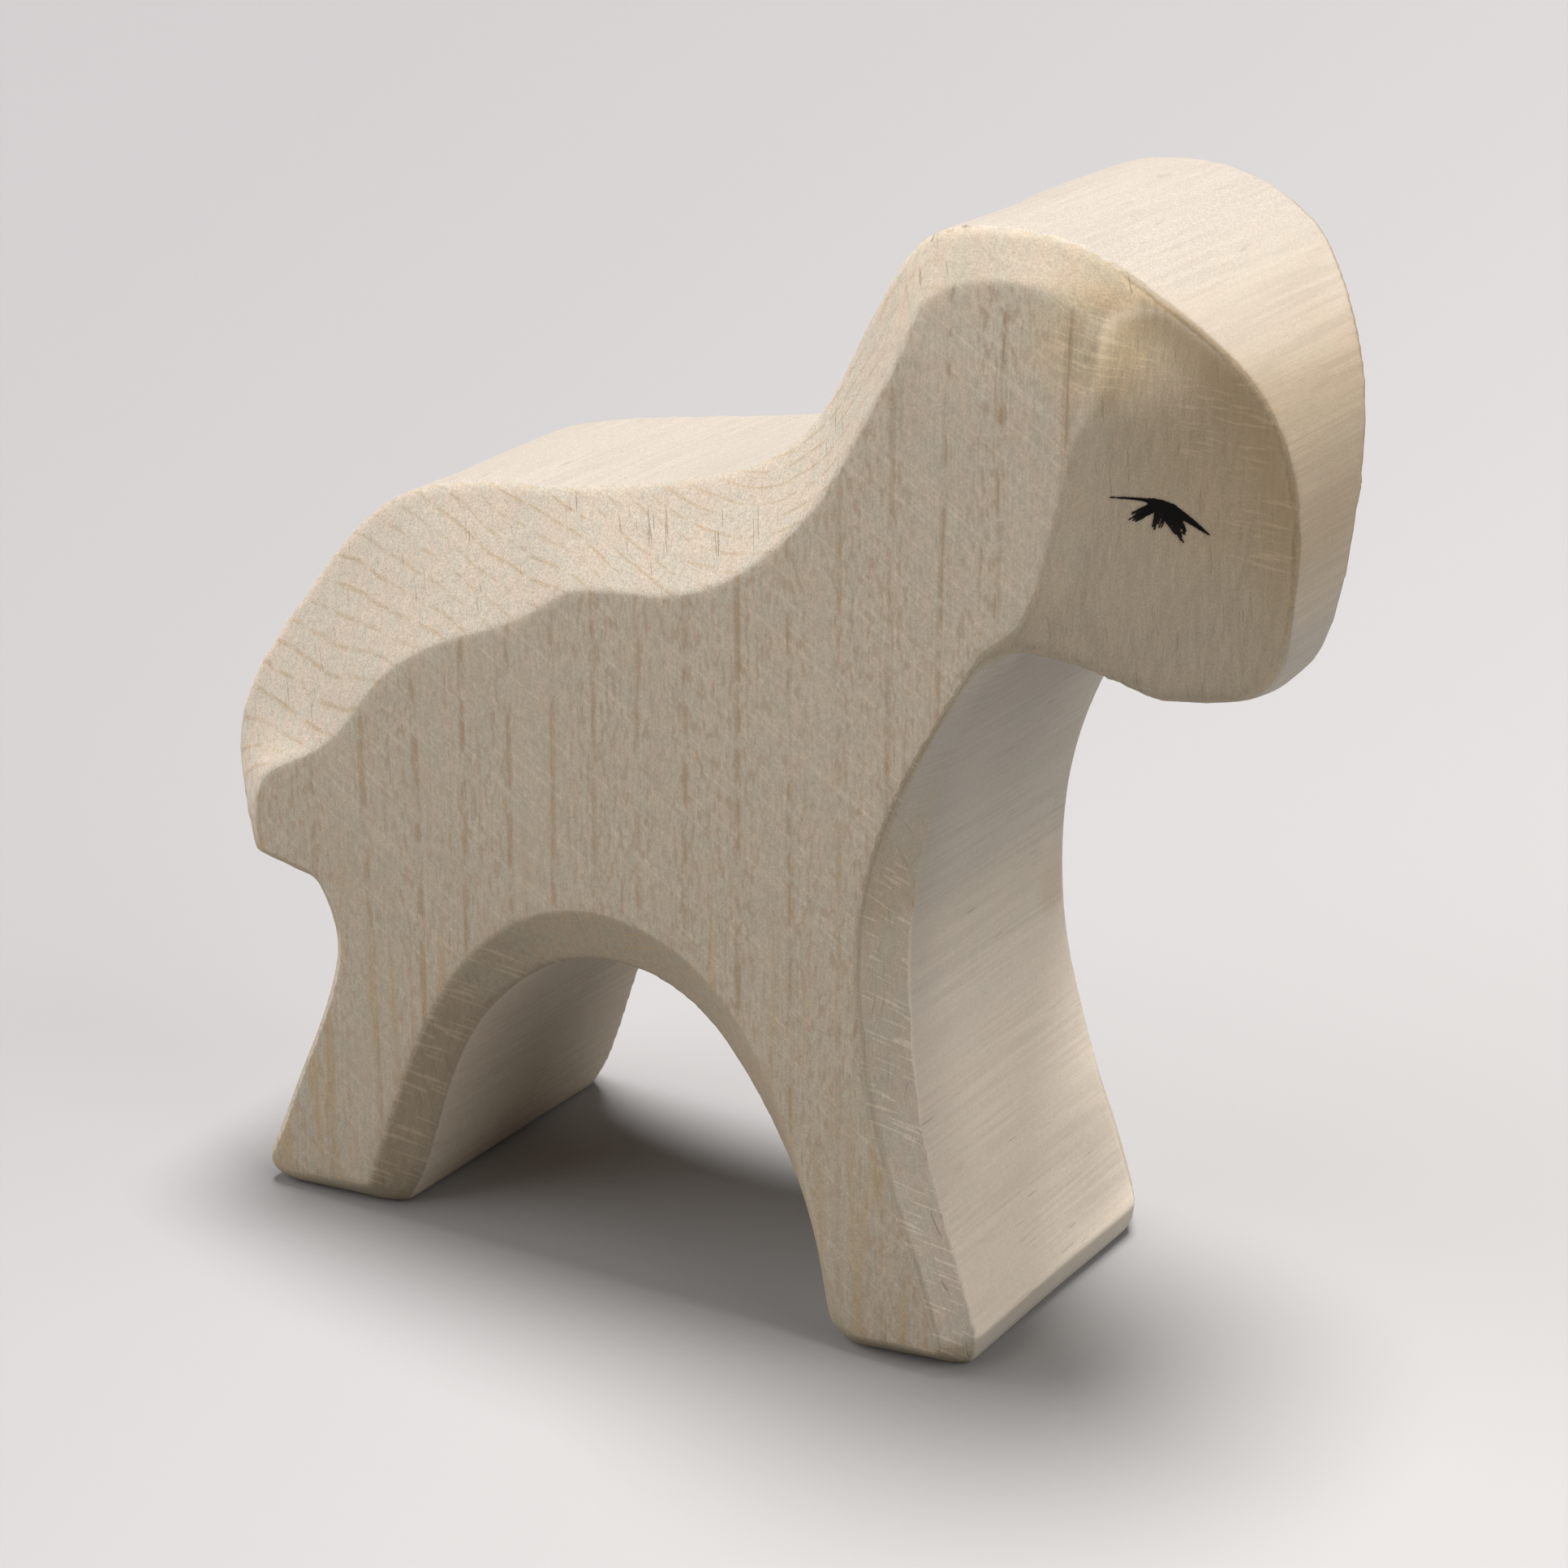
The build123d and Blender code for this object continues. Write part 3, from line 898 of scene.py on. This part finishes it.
def layHead(tree, on, colour):
    browShade = tint(tree, between(tree, on.x, *woodZones["browFrom"]),
                     woodZones["crownShade"], woodZones["browShade"])
    brow = multiply(
        tree, between(tree, on.sideways, *woodZones["browSide"]),
        between(tree, on.sideways, *woodZones["browOffSide"]),
        between(tree, on.z, *woodZones["browAbove"]), between(tree, on.up, *woodZones["browUp"]))
    colour = shade(tree, brow, colour, browShade)
    outward = distance(tree, on.flat, woodZones["faceMiddle"])
    faceEdge = multiply(tree, on.cheek, between(tree, outward, *woodZones["faceEdgeReach"]),
                        between(tree, on.z, *woodZones["faceEdgeAbove"]))
    colour = tint(tree, faceEdge, colour, woodZones["faceEdge"])
    # painted shade where the face turns from the cheek to the front
    turning = multiply(
        tree, between(tree, on.sideways, *woodZones["turningOffCheek"]),
        between(tree, on.sideways, *woodZones["turningOffRim"]),
        between(tree, on.forward, *woodZones["turningFront"]),
        between(tree, outward, *woodZones["turningReach"]),
        between(tree, on.z, *woodZones["turningAbove"]))
    return shade(tree, turning, colour, woodZones["turning"])


def layZones(tree, on, marks, colour):
    colour = tint(tree, marks.rimCracks, colour, woodMarks["crack"])
    # painted shade on the bevel of the chest and shin, and on the lower cheeks
    colour = shade(tree, marks.shin, colour, woodZones["shin"])
    colour = shade(tree, on.cheek, colour, between(tree, on.z, *woodZones["jowl"]))
    return layHead(tree, on, layFront(tree, on, colour))


def layMarks(tree, marks, colour):
    colour = shade(tree, 1.0, colour, between(tree, marks.ticks, *woodMarks["tickShade"]))
    sawShade = between(tree, marks.sawLines, *woodMarks["sawShade"])
    colour = shade(tree, marks.sawReach, colour, sawShade)
    colour = shade(tree, 1.0, colour, between(tree, marks.scratches, *woodMarks["scratchShade"]))
    knifeShade = between(tree, marks.knifeCuts, *woodMarks["knifeShade"])
    return shade(tree, marks.knifed, colour, knifeShade)


woodSurface = {
    "relief": 0.018 * mm,
    "fibreHeight": 0.3,
    "gritHeight": 0.6,
    "hairlineHeight": -0.8,
    "scratchHeight": -0.4,
    "roughness": (0.2, 0.8, 0.6, 0.8),
    "specular": 0.25,
}


def makeHeight(tree, grain, marks):
    height = multiply(tree, grain["Fibre"], woodSurface["fibreHeight"])
    for value, share in ((grain["Grit"], woodSurface["gritHeight"]),
                         (marks.hairline, woodSurface["hairlineHeight"]),
                         (marks.scratches, woodSurface["scratchHeight"]),
                         (marks.sawLines, marks.sawReach), (marks.knifeCuts, marks.knifed)):
        height = reckon(tree, "ADD", height, multiply(tree, value, share))
    return height


def addBump(tree, shader, relief, height):
    bump = addNode(tree, "Bump", {}, {"Strength": 1.0, "Distance": relief, "Height": height})
    tree.links.new(bump.outputs["Normal"], shader.inputs["Normal"])


def makeBareWood(grainGroup):
    material, tree, shader = newMaterial("bareWood")
    grain = addNode(tree, "Group", {"node_tree": grainGroup}).outputs
    on = makeMasks(tree)
    marks = makeMarks(tree, on)
    colour = layGrowth(tree, on, grain, layTones(tree, on))
    colour = layFibres(tree, on, grain, layWear(tree, on, marks, colour))
    colour = layMarks(tree, marks, layZones(tree, on, marks, colour))
    tree.links.new(colour, shader.inputs["Base Color"])
    addBump(tree, shader, woodSurface["relief"], makeHeight(tree, grain, marks))
    roughness = between(tree, grain["Fibre"], *woodSurface["roughness"])
    tree.links.new(roughness, shader.inputs["Roughness"])
    shader.inputs["Specular IOR Level"].default_value = woodSurface["specular"]
    return material


eyePaint = {
    "full": (0.004, 0.0035, 0.003, 1),
    "thin": (0.035, 0.020, 0.015, 1),
    "thinDepth": 0.035,         # mm from the stroke's border
    "relief": 0.02 * mm,
    "roughness": 0.7,
    "specular": 0.1,
}


def makeEyePaint(grainGroup):
    material, tree, shader = newMaterial("eyePaint")
    grain = addNode(tree, "Group", {"node_tree": grainGroup}).outputs
    load = addNode(tree, "Attribute", {"attribute_name": "paintLoad"}).outputs["Fac"]
    covered = between(tree, load, 0.0, eyePaint["thinDepth"])
    colour = tint(tree, covered, eyePaint["thin"], eyePaint["full"])
    tree.links.new(colour, shader.inputs["Base Color"])
    addBump(tree, shader, eyePaint["relief"], grain["Fibre"])
    shader.inputs["Roughness"].default_value = eyePaint["roughness"]
    shader.inputs["Specular IOR Level"].default_value = eyePaint["specular"]
    return material


body = makeLambBody()
rightEye = makeEye("right_eye_paint", "right_eye", body, 0, False)
leftEye = makeEye("left_eye_paint", "left_eye", body, 20, True)
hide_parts(lambBody["node"])
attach(body, "root")

grainGroup = makeUprightGrain()
body.data.materials.clear()
body.data.materials.append(makeBareWood(grainGroup))
paint = makeEyePaint(grainGroup)
for eye in (rightEye, leftEye):
    eye.data.materials.append(paint)
print("materials made")


studio = {
    "floorSize": 4.0,
    "floorDark": (0.378, 0.362, 0.366, 1),
    "floorLight": (0.475, 0.458, 0.450, 1),
    "floorBounce": (0.26, 0.26, 0.26, 1),
    "floorRoughness": 0.9,
    "floorSpecular": 0.1,
    # the floor brightens from left to right, by the angle from a point in front of it, in metres
    "toRight": (0.854, 0.520, 0),
    "toBack": (-0.520, 0.854, 0),
    "leftBorder": 0.11,
    "inFront": 0.207,
    "nearest": 0.12,
    "brightening": (-0.11, 0.92),
    # soft lamps: where each one stands, its strength and its width in degrees
    "lamps": [
        {"name": "overhead", "from": (0, 0.16, 1), "strength": 4.3, "width": 24},
        {"name": "leftFill", "from": (-0.60, -0.58, 0.55), "strength": 1.36, "width": 60},
        {"name": "rightFill", "from": (0.90, 0, 0.42), "strength": 1.12, "width": 50},
    ],
    "surroundings": 0.02,
}


def reachAlong(tree, spot, way):
    made = addNode(tree, "VectorMath", {"operation": "DOT_PRODUCT"}, {0: spot, 1: way})
    return made.outputs["Value"]


def makePaleFloor():
    material, tree, shader = newMaterial("paleFloor")
    spot = addNode(tree, "TexCoord").outputs["Object"]
    # the backdrop brightens to the right and towards the viewer, as a floor does under a near lamp
    across = reckon(tree, "ADD", reachAlong(tree, spot, studio["toRight"]), studio["leftBorder"])
    back = reckon(tree, "ADD", reachAlong(tree, spot, studio["toBack"]), studio["inFront"])
    back = reckon(tree, "MAXIMUM", back, studio["nearest"])
    lighter = between(tree, reckon(tree, "DIVIDE", across, back), *studio["brightening"])
    seen = tint(tree, lighter, studio["floorDark"], studio["floorLight"])
    # the floor looks pale, and throws less light back at the lamb
    rays = addNode(tree, "LightPath").outputs
    direct = reckon(tree, "MAXIMUM", rays["Is Camera Ray"], rays["Is Glossy Ray"])
    direct = reckon(tree, "MAXIMUM", direct, rays["Is Transmission Ray"])
    tree.links.new(tint(tree, direct, studio["floorBounce"], seen), shader.inputs["Base Color"])
    shader.inputs["Roughness"].default_value = studio["floorRoughness"]
    shader.inputs["Specular IOR Level"].default_value = studio["floorSpecular"]
    return material


def makeStudio():
    bpy.ops.object.select_all(action="DESELECT")
    bpy.ops.mesh.primitive_plane_add(size=studio["floorSize"])
    floor = bpy.context.active_object
    floor.name = "floor"
    floor.data.materials.append(makePaleFloor())

    for row in studio["lamps"]:
        bpy.ops.object.light_add(type="SUN")
        lamp = bpy.context.active_object
        lamp.name = row["name"]
        lamp.rotation_mode = "QUATERNION"
        lamp.rotation_quaternion = Vector(row["from"]).to_track_quat("Z", "Y")
        lamp.data.energy = row["strength"]
        lamp.data.angle = math.radians(row["width"])

    world = bpy.data.worlds.new("surroundings")
    world.use_nodes = True
    background = world.node_tree.nodes["Background"]
    background.inputs["Color"].default_value = (1, 1, 1, 1)
    background.inputs["Strength"].default_value = studio["surroundings"]
    bpy.context.scene.world = world
    bpy.context.scene.view_settings.view_transform = "Standard"
    print("studio made")


cameraPlace = {
    "azimuth": 31.55,           # degrees round from the lamb's right side to its head
    "elevation": 20.2,
    "distance": 220.74 * mm,
    "rise": 26.45 * mm,         # the picture's middle, up its own height from the feet
    "aside": -0.12 * mm,
    "lens": 83.85,
    "sensor": 36,
    "clipStart": 10 * mm,
}


def makeCamera():
    turn, lift = math.radians(cameraPlace["azimuth"]), math.radians(cameraPlace["elevation"])
    outward = Vector((
        math.sin(turn) * math.cos(lift), -math.cos(turn) * math.cos(lift), math.sin(lift)))
    right = Vector((math.cos(turn), math.sin(turn), 0))
    up = outward.cross(right)
    bpy.ops.object.camera_add(location=right * cameraPlace["aside"] + up * cameraPlace["rise"]
                              + outward * cameraPlace["distance"])
    camera = bpy.context.active_object
    camera.rotation_mode = "QUATERNION"
    camera.rotation_quaternion = outward.to_track_quat("Z", "Y")
    camera.data.lens = cameraPlace["lens"]
    camera.data.sensor_width = cameraPlace["sensor"]
    camera.data.clip_start = cameraPlace["clipStart"]
    bpy.context.scene.camera = camera
    print("camera made")


makeStudio()
makeCamera()
